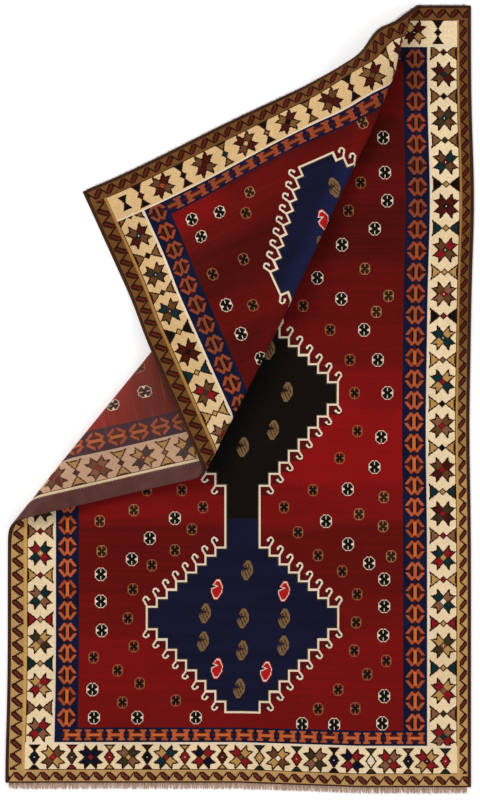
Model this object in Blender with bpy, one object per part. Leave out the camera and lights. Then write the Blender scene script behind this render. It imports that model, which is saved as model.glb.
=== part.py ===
# Qashqai rug, folded in a long tapering pleat, as it lies on a floor.
# Metres, +Z up. The pile side faces up, +Y runs along the rug's length.
#
# The rug is drawn flat first, as a mesh whose rows are arcs about the pleat's
# centre and whose columns run along the two creases. It is trimmed to the
# rug's rectangle and then every point is carried to its place in the fold.
import math

import bmesh
import bpy
import numpy as np

# The rug laid flat
RUG_WIDTH = 1.546
RUG_LENGTH = 2.592
RUG_THICKNESS = 0.009
SELVEDGE_WIDTH = 0.012
PART_GAP = 0.0003

# Where the weaving wandered: how far the sides bulge or draw in, where along
# the rug that is, and over what length; then the slant of the lower end
RIGHT_BULGE, RIGHT_WAIST, LEFT_BULGE = 0.010, 0.005, 0.008
RIGHT_BULGE_AT, RIGHT_WAIST_AT, LEFT_BULGE_AT = 0.668, -0.10, -1.27
WANDER_LENGTH = 0.25
END_SLANT = 0.015
SLANT_FROM, SLANT_TO, SLANT_DEPTH = 0.0, 0.40, 0.50

# Leather tape sewn to the back of the left side
TAPE_WIDTH = 0.056
TAPE_THICKNESS = 0.0015
TAPE_MARGIN = 0.004
TAPE_EASE = 0.060

# Fringe at the lower end
FRINGE_BAND_WIDTH = 0.008
FRINGE_BAND_THICKNESS = 0.006
LOCK_COUNT = 112
LOCK_LENGTH = 0.020
LOCK_VARIATION = 0.18
LOCK_TIP = 0.45
LOCK_SWAY, LOCK_DRIFT = 0.0022, 0.0012

# The pleat: both creases run through one point, up and right of the rug
LEFT_EDGE = -0.7749
TOP_EDGE = 1.3160
CENTRE = (0.7800, 1.5793)
CREASE_ANGLE = math.radians(52.099)
HALF_TURN = math.radians(11.939)

# How the fold changes with the distance from that point
STATIONS = (0.330, 0.450, 0.600, 0.800, 1.500, 2.600)
CREASE_A_RADIUS = (0.0193, 0.0275, 0.0306, 0.0265, 0.0500, 0.0550)
CREASE_B_RADIUS = (0.0499, 0.0245, 0.0475, 0.0209, 0.0372, 0.0398)
CREASE_SHIFT = (-0.0185, -0.0063, -0.0087, -0.0013, -0.0104, 0.0081)
# Share of the full pleat that the cloth takes up there; near the point it gives sideways instead
TAKEN_UP = (0.264, 0.585, 0.908, 0.973, 1.0, 1.0)
SETTLE_WIDTH = 0.120
SETTLED_HEIGHT = 0.60
MIDDLE_SAG = 0.75
FLAP_SAG = 0.40
FLAP_FALL = 0.256
FALL_START = 0.050
LAYER_PITCH = RUG_THICKNESS + 0.003

# Mesh of the flat sheet
ROW_START, ROW_END = 0.250, 3.450
FINE_ROW, COARSE_ROW, FINE_ROW_END = 0.070, 0.120, 0.95
BEND_COLUMNS = 24
ARC_STEP = 0.003
PROFILE_STEP = 0.020
SMALLEST_TURN, TURN_TRIES = 0.01, 30
SHORTEST_FLAP = 0.05

# How far the section runs on past the pleat, and how much of it the mesh covers at each radius
BASE_RUN, FLAP_RUN = 3.6, 3.9
BASE_SHARE, FLAP_SHARE = 0.74, 0.95
LENGTH_PER_RADIAN = 0.20

# Closeness at which points count as one
CUT_CLOSE, EDGE_CLOSE, WELD_CLOSE = 0.00002, 0.00005, 0.00008
NORMAL_STEP = 0.002

# Moves the finished rug so that its box is centred on the origin
BOX_SHIFT = (0.00106, 0.00100)


def ramp(value):
    value = np.clip(value, 0.0, 1.0)
    return value * value * (3.0 - 2.0 * value)


def bump(value):
    return np.sin(np.pi * np.clip(value, 0.0, 1.0)) ** 2


def at_station(radius, values):
    radius = min(max(radius, STATIONS[0]), STATIONS[-1])
    index = min(max(int(np.searchsorted(STATIONS, radius)) - 1, 0), len(STATIONS) - 2)
    span = STATIONS[index + 1] - STATIONS[index]
    blend = float(ramp((radius - STATIONS[index]) / span))
    return values[index] * (1.0 - blend) + values[index + 1] * blend


def fold_profile(radius):
    """Section of the fold along the arc of one radius: arc length, shift, height."""
    excess = 2.0 * HALF_TURN * radius * at_station(radius, TAKEN_UP)
    bend_a = at_station(radius, CREASE_A_RADIUS)
    bend_b = at_station(radius, CREASE_B_RADIUS)

    def heading(turn, flat):
        first, second = bend_a * turn, bend_b * turn
        arc = np.arange(0.0, first + flat + second + ARC_STEP, ARC_STEP)
        return arc, turn * (ramp(arc / first) - ramp((arc - first - flat) / second))

    def taken_up(turn, flat):
        arc, angle = heading(turn, flat)
        return float(np.trapz(1.0 - np.cos(angle), arc))

    turn, flat = math.pi, 0.0
    full = taken_up(math.pi, 0.0)
    if full <= excess:
        flat = (excess - full) / 2.0
    else:
        low, high = SMALLEST_TURN, math.pi
        for _ in range(TURN_TRIES):
            turn = (low + high) / 2.0
            if taken_up(turn, 0.0) < excess:
                low = turn
            else:
                high = turn
    arc, angle = heading(turn, flat)
    along = (np.cos(angle[1:]) + np.cos(angle[:-1])) / 2.0 * ARC_STEP
    up = (np.sin(angle[1:]) + np.sin(angle[:-1])) / 2.0 * ARC_STEP
    shift = -np.concatenate([[0.0], np.cumsum(along)])
    height = np.concatenate([[0.0], np.cumsum(up)])
    first = bend_a * turn
    start = -first / 2.0 + at_station(radius, CREASE_SHIFT)

    # Where the pleat is wide its own weight flattens it
    weight = 1.0 - math.exp(-(flat / SETTLE_WIDTH) ** 2)
    height = height * (1.0 - (1.0 - SETTLED_HEIGHT) * weight)
    middle = float(np.interp(first + flat / 2.0, arc, height))
    sag_middle = weight * MIDDLE_SAG * max(0.0, middle - LAYER_PITCH)
    height = height - sag_middle * bump((arc - first * 0.8) / (first * 0.2 + flat + bend_b * turn * 0.2))
    shift = shift - start
    arc = arc + start

    # The flap sags over the middle layer and then falls to the floor
    end_arc, end_shift, end_height = arc[-1], shift[-1], height[-1]
    fall_from = max(0.0, end_shift - FALL_START)
    flap = np.arange(end_arc + ARC_STEP, end_arc + FLAP_RUN, ARC_STEP)
    flap_height = end_height * (1.0 - ramp((flap - end_arc - fall_from) / FLAP_FALL))
    room = max(0.0, end_height - middle - LAYER_PITCH)
    flap_height = flap_height - weight * FLAP_SAG * room * bump((flap - end_arc) / max(end_shift, SHORTEST_FLAP))
    slope = np.gradient(flap_height, ARC_STEP)
    step = ARC_STEP * np.sqrt(np.maximum(0.0, 1.0 - slope ** 2))
    flap_shift = end_shift - np.cumsum(step)

    base = np.arange(-BASE_RUN, arc[0], ARC_STEP * 20.0)
    return {
        "arc": np.concatenate([base, arc, flap]),
        "shift": np.concatenate([-base, shift, flap_shift]),
        "height": np.concatenate([np.zeros_like(base), height, np.zeros_like(flap) + flap_height]),
        "bends": (arc, angle),
        "fall_from": end_arc + fall_from,
    }


CREASE_DIRECTION = math.atan2(-math.sin(CREASE_ANGLE), -math.cos(CREASE_ANGLE))
PROFILE_RADII = np.arange(ROW_START, ROW_END + PROFILE_STEP, PROFILE_STEP)
PROFILES = [fold_profile(float(radius)) for radius in PROFILE_RADII]


def as_woven(x, y):
    """The true rectangle moved to the slightly uneven outline that the loom left."""
    def near(place):
        return np.exp(-((y - place) / WANDER_LENGTH) ** 2)

    right = RIGHT_BULGE * near(RIGHT_BULGE_AT) - RIGHT_WAIST * near(RIGHT_WAIST_AT)
    left = -LEFT_BULGE * near(LEFT_BULGE_AT)
    half = RUG_WIDTH / 2.0
    depth = ramp(1.0 - (y - TOP_EDGE + RUG_LENGTH) / SLANT_DEPTH)
    slant = np.clip((x - SLANT_FROM) / (SLANT_TO - SLANT_FROM), 0.0, 1.0)
    return x + right * ramp(x / half) + left * ramp(-x / half), y - END_SLANT * slant * depth


def folded(x, y):
    """Place of a flat point on the middle surface of the folded rug."""
    x, y = as_woven(x, y)
    dx, dy = x - CENTRE[0], y - CENTRE[1]
    radius = np.hypot(dx, dy)
    angle = np.arctan2(dy, dx) - CREASE_DIRECTION
    angle = (angle + math.pi) % (2.0 * math.pi) - math.pi
    arc = -radius * angle
    place = (radius - PROFILE_RADII[0]) / PROFILE_STEP
    index = np.clip(place.astype(int), 0, len(PROFILES) - 2)
    blend = np.clip(place - index, 0.0, 1.0)
    shift = np.empty_like(radius)
    height = np.empty_like(radius)
    for k in np.unique(index):
        chosen = index == k
        near, far, f = PROFILES[k], PROFILES[k + 1], blend[chosen]
        s = arc[chosen]
        shift[chosen] = (1 - f) * np.interp(s, near["arc"], near["shift"]) + f * np.interp(s, far["arc"], far["shift"])
        height[chosen] = (1 - f) * np.interp(s, near["arc"], near["height"]) + f * np.interp(s, far["arc"], far["height"])
    turned = CREASE_DIRECTION + shift / radius
    px = CENTRE[0] + radius * np.cos(turned)
    py = CENTRE[1] + radius * np.sin(turned)
    return np.stack([px, py, height], axis=1)


def folded_with_lift(x, y, lift):
    """The same, moved along the cloth's own upward normal by lift."""
    across = folded(x + NORMAL_STEP, y) - folded(x - NORMAL_STEP, y)
    along = folded(x, y + NORMAL_STEP) - folded(x, y - NORMAL_STEP)
    normal = np.cross(across, along)
    normal /= np.linalg.norm(normal, axis=1)[:, None]
    return folded(x, y) + normal * np.asarray(lift)[:, None]


def rest_lift(x):
    """The rug's side rises over the tape that is sewn under it."""
    tape_room = TAPE_THICKNESS + PART_GAP
    return tape_room * (1.0 - ramp((x - LEFT_EDGE - TAPE_WIDTH - TAPE_MARGIN) / TAPE_EASE))


def flat_sheet(cuts):
    """The rug's rectangle, in rows and columns that follow the pleat."""
    rows = list(np.arange(ROW_START, FINE_ROW_END, FINE_ROW)) + list(np.arange(FINE_ROW_END, ROW_END, COARSE_ROW))
    grid = []
    for radius in rows:
        profile = PROFILES[int(round((radius - ROW_START) / PROFILE_STEP))]
        arc, angle = profile["bends"]
        measure = np.concatenate([[0.0], np.cumsum(np.abs(np.diff(angle)) + np.diff(arc) / LENGTH_PER_RADIAN)])
        bends = np.interp(np.linspace(0.0, measure[-1], BEND_COLUMNS + 1), measure, arc)
        base = [bends[0] + f * (-radius * BASE_SHARE - bends[0]) for f in (1.0, 0.66, 0.33)]
        lag = max(0.02, profile["fall_from"] - bends[-1])
        run = [bends[-1] + lag * f for f in (0.33, 0.66, 1.0)]
        fall = [bends[-1] + lag + FLAP_FALL * f for f in (0.17, 0.33, 0.5, 0.67, 0.83, 1.0)]
        end = max(radius * FLAP_SHARE, fall[-1] + 0.1)
        rest = [fall[-1] + f * (end - fall[-1]) for f in (0.33, 0.66, 1.0)]
        grid.append([-s / radius for s in base + list(bends) + run + fall + rest])
    bm = bmesh.new()
    columns = len(grid[0])
    bmesh.ops.create_grid(bm, x_segments=columns - 1, y_segments=len(rows) - 1, size=0.5)
    for vert in bm.verts:
        column = int(round((vert.co.x + 0.5) * (columns - 1)))
        row = int(round((vert.co.y + 0.5) * (len(rows) - 1)))
        angle = CREASE_DIRECTION + grid[row][column]
        vert.co = (CENTRE[0] + rows[row] * math.cos(angle), CENTRE[1] + rows[row] * math.sin(angle), 0.0)
    bmesh.ops.recalc_face_normals(bm, faces=bm.faces)
    if bm.faces[:][0].normal.z < 0.0:
        bmesh.ops.reverse_faces(bm, faces=bm.faces)
    right, bottom = LEFT_EDGE + RUG_WIDTH, TOP_EDGE - RUG_LENGTH
    trims = (((LEFT_EDGE, 0, 0), (-1, 0, 0)), ((right, 0, 0), (1, 0, 0)),
             ((0, TOP_EDGE, 0), (0, 1, 0)), ((0, bottom, 0), (0, -1, 0)))
    for point, normal in trims:
        geometry = bm.verts[:] + bm.edges[:] + bm.faces[:]
        bmesh.ops.bisect_plane(bm, geom=geometry, plane_co=point, plane_no=normal, clear_outer=True, dist=CUT_CLOSE)
    for value in cuts:
        geometry = bm.verts[:] + bm.edges[:] + bm.faces[:]
        bmesh.ops.bisect_plane(bm, geom=geometry, plane_co=(value, 0, 0), plane_no=(1, 0, 0), dist=CUT_CLOSE)
    bmesh.ops.remove_doubles(bm, verts=bm.verts, dist=WELD_CLOSE)
    bmesh.ops.triangulate(bm, faces=bm.faces[:])
    return bm


def slab(sheet, low, high, bottom, top, inset=0.0):
    """The part of the flat sheet between two distances across, as a flat slab."""
    bm = sheet.copy()
    outside = [face for face in bm.faces if not low < face.calc_center_median().x < high]
    bmesh.ops.delete(bm, geom=outside, context="FACES")
    for vert in bm.verts:
        vert.co.z = bottom
        if abs(vert.co.x - high) < EDGE_CLOSE:
            vert.co.x = high - inset
        if abs(vert.co.x - low) < EDGE_CLOSE:
            vert.co.x = low + inset
    raised = bmesh.ops.extrude_face_region(bm, geom=bm.faces[:], use_keep_orig=True)
    for item in raised["geom"]:
        if isinstance(item, bmesh.types.BMVert):
            item.co.z = top
    bmesh.ops.recalc_face_normals(bm, faces=bm.faces)
    return bm


def carry(bm):
    """Moves a flat slab's points to their place in the fold."""
    bm.verts.ensure_lookup_table()
    flat = np.array([vert.co[:] for vert in bm.verts])
    places = folded_with_lift(flat[:, 0], flat[:, 1], rest_lift(flat[:, 0]) + flat[:, 2])
    places += np.array([BOX_SHIFT[0], BOX_SHIFT[1], RUG_THICKNESS / 2.0])
    for vert, place in zip(bm.verts, places):
        vert.co = place
    bmesh.ops.triangulate(bm, faces=bm.faces[:])


def material(name, colour, roughness):
    made = bpy.data.materials.new(name)
    made.use_nodes = True
    shader = made.node_tree.nodes["Principled BSDF"]
    shader.inputs["Base Color"].default_value = (*colour, 1.0)
    shader.inputs["Roughness"].default_value = roughness
    shader.inputs["Metallic"].default_value = 0.0
    return made


def add_object(name, bm, look, parent):
    mesh = bpy.data.meshes.new(name)
    bm.to_mesh(mesh)
    bm.free()
    mesh.materials.append(look)
    made = bpy.data.objects.new(name, mesh)
    collection.objects.link(made)
    made.parent = parent
    mesh.shade_smooth()
    mesh.set_sharp_from_angle(angle=math.radians(35))
    return made


def fringe_mesh():
    """The end band, with a row of short locks drawn out of its outer face."""
    bm = bmesh.new()
    cells = 2 * LOCK_COUNT + 1
    bmesh.ops.create_grid(bm, x_segments=cells, y_segments=1, size=0.5)
    top = TOP_EDGE - RUG_LENGTH - PART_GAP
    width = RUG_WIDTH - 2.0 * (SELVEDGE_WIDTH + PART_GAP)
    left = LEFT_EDGE + SELVEDGE_WIDTH + PART_GAP
    for vert in bm.verts:
        vert.co = (left + (vert.co.x + 0.5) * width, top + (vert.co.y - 0.5) * FRINGE_BAND_WIDTH, 0.0)
    faces = bmesh.ops.extrude_face_region(bm, geom=bm.faces[:])
    for item in faces["geom"]:
        if isinstance(item, bmesh.types.BMVert):
            item.co.z = FRINGE_BAND_THICKNESS
    bmesh.ops.recalc_face_normals(bm, faces=bm.faces)
    front = sorted((face for face in bm.faces if face.normal.y < -0.9), key=lambda face: face.calc_center_median().x)
    for number, face in enumerate(front[1::2]):
        sway = LOCK_SWAY * math.sin(number * 2.4) + LOCK_DRIFT * math.sin(number * 0.7)
        reach = LOCK_LENGTH * (1.0 - LOCK_VARIATION + LOCK_VARIATION * math.sin(number * 1.9 + 0.6))
        for part, scale in ((0.45, 0.9), (0.55, LOCK_TIP)):
            face = bmesh.ops.extrude_discrete_faces(bm, faces=[face])["faces"][0]
            middle = face.calc_center_median()
            floor = FRINGE_BAND_THICKNESS / 2.0 * (0.72 if part < 0.5 else 0.42)
            for vert in face.verts:
                vert.co.x = middle.x + (vert.co.x - middle.x) * scale + sway * part
                vert.co.y -= reach * part
                above = 1.0 if vert.co.z > middle.z else -1.0
                vert.co.z = floor + above * floor
    bmesh.ops.remove_doubles(bm, verts=bm.verts, dist=0.00001)
    for vert in bm.verts:
        x, y = as_woven(np.array(vert.co.x), np.array(max(vert.co.y, top + PART_GAP)))
        vert.co.x = float(x) + BOX_SHIFT[0]
        vert.co.y += float(y) - max(vert.co.y, top + PART_GAP) + BOX_SHIFT[1]
    bmesh.ops.recalc_face_normals(bm, faces=bm.faces)
    return bm


for old in list(bpy.data.objects):
    bpy.data.objects.remove(old, do_unlink=True)

collection = bpy.data.collections.new("qashqai_rug")
bpy.context.scene.collection.children.link(collection)
root = bpy.data.objects.new("qashqai_rug_root", None)
collection.objects.link(root)

wool_red = material("wool_red", (0.30, 0.012, 0.016), 0.9)
wool_dark = material("wool_dark", (0.035, 0.016, 0.010), 0.85)
leather_brown = material("leather_brown", (0.20, 0.095, 0.085), 0.45)
wool_pale = material("wool_pale", (0.62, 0.50, 0.42), 0.9)

right_edge = LEFT_EDGE + RUG_WIDTH
inner_left = LEFT_EDGE + SELVEDGE_WIDTH
inner_right = right_edge - SELVEDGE_WIDTH
sheet = flat_sheet((inner_left, LEFT_EDGE + TAPE_WIDTH, SLANT_FROM, SLANT_TO, inner_right))

back = -RUG_THICKNESS / 2.0
pile = RUG_THICKNESS / 2.0
tape_top = back - PART_GAP
pieces = (
    ("rug_field", inner_left, inner_right, wool_red, back, pile, PART_GAP / 2.0),
    ("selvedge_left", LEFT_EDGE, inner_left, wool_dark, back, pile, PART_GAP / 2.0),
    ("selvedge_right", inner_right, right_edge, wool_dark, back, pile, PART_GAP / 2.0),
    ("edge_tape", LEFT_EDGE, LEFT_EDGE + TAPE_WIDTH, leather_brown, tape_top - TAPE_THICKNESS, tape_top, 0.0),
)
for name, low, high, look, bottom, top, inset in pieces:
    strip = slab(sheet, low, high, bottom, top, inset)
    carry(strip)
    add_object(name, strip, look, root)
sheet.free()
add_object("fringe_lower", fringe_mesh(), wool_pale, root)
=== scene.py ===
import math

import bmesh
import bpy
import numpy as np
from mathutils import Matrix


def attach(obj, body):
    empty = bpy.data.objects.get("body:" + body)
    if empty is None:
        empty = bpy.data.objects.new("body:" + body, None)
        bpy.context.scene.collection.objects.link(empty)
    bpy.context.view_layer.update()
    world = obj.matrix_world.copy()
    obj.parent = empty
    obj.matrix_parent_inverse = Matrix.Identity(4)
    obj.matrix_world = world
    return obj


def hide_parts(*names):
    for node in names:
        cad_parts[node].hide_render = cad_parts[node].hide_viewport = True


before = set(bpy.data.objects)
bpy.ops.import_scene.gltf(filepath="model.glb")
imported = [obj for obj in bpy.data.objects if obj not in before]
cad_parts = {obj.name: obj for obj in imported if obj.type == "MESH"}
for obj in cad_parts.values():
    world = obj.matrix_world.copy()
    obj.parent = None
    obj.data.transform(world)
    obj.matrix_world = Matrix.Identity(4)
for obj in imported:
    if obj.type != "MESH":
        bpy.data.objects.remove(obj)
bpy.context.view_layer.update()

# Sizes are metres. Flat positions have x across the rug and y along it.
rug = {
    "width": 1.546,
    "length": 2.592,
    "thickness": 0.009,
    "left": -0.7749,
    "top": 1.3160,
    "boxShift": (0.00106, 0.00100),
    "tapeRoom": 0.0018,
    "tapeWidth": 0.056,
    "tapeEase": 0.060,
    "rightBulge": 0.010,
    "rightWaist": 0.005,
    "leftBulge": 0.008,
    "slant": 0.015,
    "slantFrom": 0.0,
    "slantTo": 0.40,
    "slantDepth": 0.50,
}
rug["right"] = rug["left"] + rug["width"]
rug["bottom"] = rug["top"] - rug["length"]

# The pleat, as part.py has it
pleat = {
    "centre": (0.7800, 1.5793),
    "angle": math.radians(52.099),
    "halfTurn": math.radians(11.939),
    "stations": (0.330, 0.450, 0.600, 0.800, 1.500, 2.600),
    "radiusA": (0.0193, 0.0275, 0.0306, 0.0265, 0.0500, 0.0550),
    "radiusB": (0.0499, 0.0245, 0.0475, 0.0209, 0.0372, 0.0398),
    "shift": (-0.0185, -0.0063, -0.0087, -0.0013, -0.0104, 0.0081),
    "takenUp": (0.264, 0.585, 0.908, 0.973, 1.0, 1.0),
    "settleWidth": 0.120,
    "settledHeight": 0.60,
    "middleSag": 0.75,
    "flapSag": 0.40,
    "fall": 0.256,
    "fallStart": 0.050,
    "pitch": 0.012,
    "arcStep": 0.003,
    "radiusStep": 0.020,
    "firstRadius": 0.250,
    "lastRadius": 3.450,
}

# Distances from each edge to the outside of the guard, ivory and blue bands and of the field
bands = {
    "left": (0.012, 0.065, 0.161, 0.238),
    "right": (0.012, 0.047, 0.147, 0.227),
    "top": (0.010, 0.049, 0.139, 0.188),
    "bottom": (0.005, 0.043, 0.135, 0.184),
    "ivoryPitch": {"left": 0.14696, "right": 0.1465, "top": 0.158, "bottom": 0.124},
    "ivoryStart": {"left": -1.0989, "right": -1.1115, "top": -0.525, "bottom": -0.617},
    "bluePitch": {"left": 0.0713, "right": 0.0712, "top": 0.0928, "bottom": 0.0712},
    "blueStart": {"left": -1.0588, "right": -1.0690, "top": -0.5245, "bottom": -0.5545},
    "guardPitch": {"left": 0.0465, "right": 0.0465, "top": 0.0438, "bottom": 0.0438},
}

# The cloth's mesh, and the size of one knot
cloth = {
    "rowStep": 0.016,
    "baseColumns": 90,
    "bendColumns": 72,
    "lagColumns": 16,
    "fallColumns": 28,
    "flapColumns": 60,
    "margin": 0.05,
    "knot": 0.0026,
}


def ramp(value):
    value = np.clip(value, 0.0, 1.0)
    return value * value * (3.0 - 2.0 * value)


def bump(value):
    return np.sin(np.pi * np.clip(value, 0.0, 1.0)) ** 2


def atStation(radius, values):
    stations = pleat["stations"]
    radius = min(max(radius, stations[0]), stations[-1])
    index = min(max(int(np.searchsorted(stations, radius)) - 1, 0), len(stations) - 2)
    span = stations[index + 1] - stations[index]
    blend = float(ramp((radius - stations[index]) / span))
    return values[index] * (1.0 - blend) + values[index + 1] * blend


def foldProfile(radius):
    step = pleat["arcStep"]
    excess = 2.0 * pleat["halfTurn"] * radius * atStation(radius, pleat["takenUp"])
    bendA = atStation(radius, pleat["radiusA"])
    bendB = atStation(radius, pleat["radiusB"])

    def heading(turn, flat):
        first = bendA * turn
        second = bendB * turn
        arc = np.arange(0.0, first + flat + second + step, step)
        return arc, turn * (ramp(arc / first) - ramp((arc - first - flat) / second))

    def takenUp(turn, flat):
        arc, angle = heading(turn, flat)
        return float(np.trapz(1.0 - np.cos(angle), arc))

    turn = math.pi
    flat = 0.0
    full = takenUp(math.pi, 0.0)
    if full <= excess:
        flat = (excess - full) / 2.0
    else:
        low = 0.01
        high = math.pi
        for _ in range(30):
            turn = (low + high) / 2.0
            if takenUp(turn, 0.0) < excess:
                low = turn
            else:
                high = turn
    arc, angle = heading(turn, flat)
    along = (np.cos(angle[1:]) + np.cos(angle[:-1])) / 2.0 * step
    up = (np.sin(angle[1:]) + np.sin(angle[:-1])) / 2.0 * step
    shift = -np.concatenate([[0.0], np.cumsum(along)])
    height = np.concatenate([[0.0], np.cumsum(up)])
    first = bendA * turn
    start = -first / 2.0 + atStation(radius, pleat["shift"])

    # Where the pleat is wide its own weight flattens it
    weight = 1.0 - math.exp(-(flat / pleat["settleWidth"]) ** 2)
    height = height * (1.0 - (1.0 - pleat["settledHeight"]) * weight)
    middle = float(np.interp(first + flat / 2.0, arc, height))
    sag = weight * pleat["middleSag"] * max(0.0, middle - pleat["pitch"])
    height = height - sag * bump((arc - first * 0.8) / (first * 0.2 + flat + bendB * turn * 0.2))
    shift = shift - start
    arc = arc + start

    endArc = arc[-1]
    endShift = shift[-1]
    endHeight = height[-1]
    fallFrom = max(0.0, endShift - pleat["fallStart"])
    flap = np.arange(endArc + step, endArc + 3.9, step)
    flapHeight = endHeight * (1.0 - ramp((flap - endArc - fallFrom) / pleat["fall"]))
    room = max(0.0, endHeight - middle - pleat["pitch"])
    dip = bump((flap - endArc) / max(endShift, 0.05))
    flapHeight = flapHeight - weight * pleat["flapSag"] * room * dip
    slope = np.gradient(flapHeight, step)
    flapShift = endShift - np.cumsum(step * np.sqrt(np.maximum(0.0, 1.0 - slope ** 2)))
    base = np.arange(-3.6, arc[0], step * 20.0)
    return {
        "arc": np.concatenate([base, arc, flap]),
        "shift": np.concatenate([-base, shift, flapShift]),
        "height": np.concatenate([np.zeros_like(base), height, flapHeight]),
        "bends": (arc, angle),
        "fallFrom": endArc + fallFrom,
    }


creaseDirection = math.atan2(-math.sin(pleat["angle"]), -math.cos(pleat["angle"]))
profileEnd = pleat["lastRadius"] + pleat["radiusStep"]
profileRadii = np.arange(pleat["firstRadius"], profileEnd, pleat["radiusStep"])
profiles = [foldProfile(float(radius)) for radius in profileRadii]


def asWoven(x, y):
    # The uneven outline that the loom left: the sides swell and draw in, and the lower end slants
    bulge = rug["rightBulge"] * np.exp(-((y - 0.668) / 0.25) ** 2)
    waist = rug["rightWaist"] * np.exp(-((y + 0.10) / 0.25) ** 2)
    left = -rug["leftBulge"] * np.exp(-((y + 1.27) / 0.25) ** 2)
    half = rug["width"] / 2.0
    depth = ramp(1.0 - (y - rug["bottom"]) / rug["slantDepth"])
    slant = np.clip((x - rug["slantFrom"]) / (rug["slantTo"] - rug["slantFrom"]), 0.0, 1.0)
    return x + (bulge - waist) * ramp(x / half) + left * ramp(-x / half), y - rug["slant"] * slant * depth


def folded(x, y):
    x, y = asWoven(x, y)
    dx = x - pleat["centre"][0]
    dy = y - pleat["centre"][1]
    radius = np.hypot(dx, dy)
    angle = np.arctan2(dy, dx) - creaseDirection
    angle = (angle + math.pi) % (2.0 * math.pi) - math.pi
    arc = -radius * angle
    place = (radius - profileRadii[0]) / pleat["radiusStep"]
    index = np.clip(place.astype(int), 0, len(profiles) - 2)
    blend = np.clip(place - index, 0.0, 1.0)
    shift = np.empty_like(radius)
    height = np.empty_like(radius)
    for k in np.unique(index):
        chosen = index == k
        near = profiles[k]
        far = profiles[k + 1]
        f = blend[chosen]
        s = arc[chosen]
        for out, key in ((shift, "shift"), (height, "height")):
            first = np.interp(s, near["arc"], near[key])
            out[chosen] = (1.0 - f) * first + f * np.interp(s, far["arc"], far[key])
    turned = creaseDirection + shift / radius
    px = pleat["centre"][0] + radius * np.cos(turned)
    py = pleat["centre"][1] + radius * np.sin(turned)
    return np.stack([px, py, height], axis=1)


def placed(x, y, lift):
    # Where a point of the cloth lies, lift above its middle surface on the pile side
    step = 0.002
    across = folded(x + step, y) - folded(x - step, y)
    along = folded(x, y + step) - folded(x, y - step)
    normal = np.cross(across, along)
    normal /= np.linalg.norm(normal, axis=1)[:, None]
    inside = x - rug["left"] - rug["tapeWidth"] - 0.004
    rest = rug["tapeRoom"] * (1.0 - ramp(inside / rug["tapeEase"]))
    places = folded(x, y) + normal * (rest + lift)[:, None]
    return places + np.array([rug["boxShift"][0], rug["boxShift"][1], rug["thickness"] / 2.0])


# The axis across each edge, and the way inwards from it
inwards = {"left": (0, 1.0), "right": (0, -1.0), "top": (1, -1.0), "bottom": (1, 1.0)}


def trim(bm, axis, place, facing=1.0, clear=False):
    # A straight cut at one x or y, which may clear what lies beyond it
    point = [0.0, 0.0, 0.0]
    normal = [0.0, 0.0, 0.0]
    point[axis] = place
    normal[axis] = facing
    geometry = bm.verts[:] + bm.edges[:] + bm.faces[:]
    bmesh.ops.bisect_plane(bm, geom=geometry, plane_co=point, plane_no=normal,
                           clear_outer=clear, dist=0.00002)


def gapsTo(x, y):
    # How far a flat point is inside each edge
    return {"left": x - rug["left"], "right": rug["right"] - x,
            "top": rug["top"] - y, "bottom": y - rug["bottom"]}


def flatSheet():
    # Rows are arcs about the pleat's centre, and columns crowd into the bends
    rowCount = math.ceil((pleat["lastRadius"] - pleat["firstRadius"]) / cloth["rowStep"])
    rows = np.linspace(pleat["firstRadius"], pleat["lastRadius"], rowCount + 1)
    grid = []
    for radius in rows:
        profile = profiles[int(round((radius - pleat["firstRadius"]) / pleat["radiusStep"]))]
        arc, angle = profile["bends"]
        steps = np.abs(np.diff(angle)) + np.diff(arc) / 0.20
        measure = np.concatenate([[0.0], np.cumsum(steps)])
        bends = np.interp(np.linspace(0.0, measure[-1], cloth["bendColumns"] + 1), measure, arc)
        base = np.linspace(-radius * 0.74, bends[0], cloth["baseColumns"] + 1)[:-1]
        lag = max(0.02, profile["fallFrom"] - bends[-1])
        run = np.linspace(bends[-1], bends[-1] + lag, cloth["lagColumns"] + 1)[1:]
        fall = np.linspace(run[-1], run[-1] + pleat["fall"], cloth["fallColumns"] + 1)[1:]
        end = max(radius * 0.95, fall[-1] + 0.1)
        rest = np.linspace(fall[-1], end, cloth["flapColumns"] + 1)[1:]
        grid.append(-np.concatenate([base, bends, run, fall, rest]) / radius)
    grid = np.array(grid) + creaseDirection
    radii = rows[:, None]
    xs = pleat["centre"][0] + radii * np.cos(grid)
    ys = pleat["centre"][1] + radii * np.sin(grid)
    bm = bmesh.new()
    columns = grid.shape[1]
    bmesh.ops.create_grid(bm, x_segments=columns - 1, y_segments=len(rows) - 1, size=0.5)
    for vert in bm.verts:
        column = int(round((vert.co.x + 0.5) * (columns - 1)))
        row = int(round((vert.co.y + 0.5) * (len(rows) - 1)))
        vert.co = (xs[row, column], ys[row, column], 0.0)
    far = [vert for vert in bm.verts if min(gapsTo(vert.co.x, vert.co.y).values()) < -cloth["margin"]]
    bmesh.ops.delete(bm, geom=far, context="VERTS")
    for side, (axis, inward) in inwards.items():
        trim(bm, axis, rug[side], -inward, True)
    for side, (axis, inward) in inwards.items():
        for inset in bands[side]:
            trim(bm, axis, rug[side] + inward * inset)
    for x in (rug["slantFrom"], rug["slantTo"]):
        trim(bm, 0, x)
    bmesh.ops.recalc_face_normals(bm, faces=bm.faces)
    bm.faces.ensure_lookup_table()
    if bm.faces[0].normal.z < 0.0:
        bmesh.ops.reverse_faces(bm, faces=bm.faces)
    bmesh.ops.triangulate(bm, faces=[face for face in bm.faces if len(face.verts) > 4])
    return bm


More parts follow.
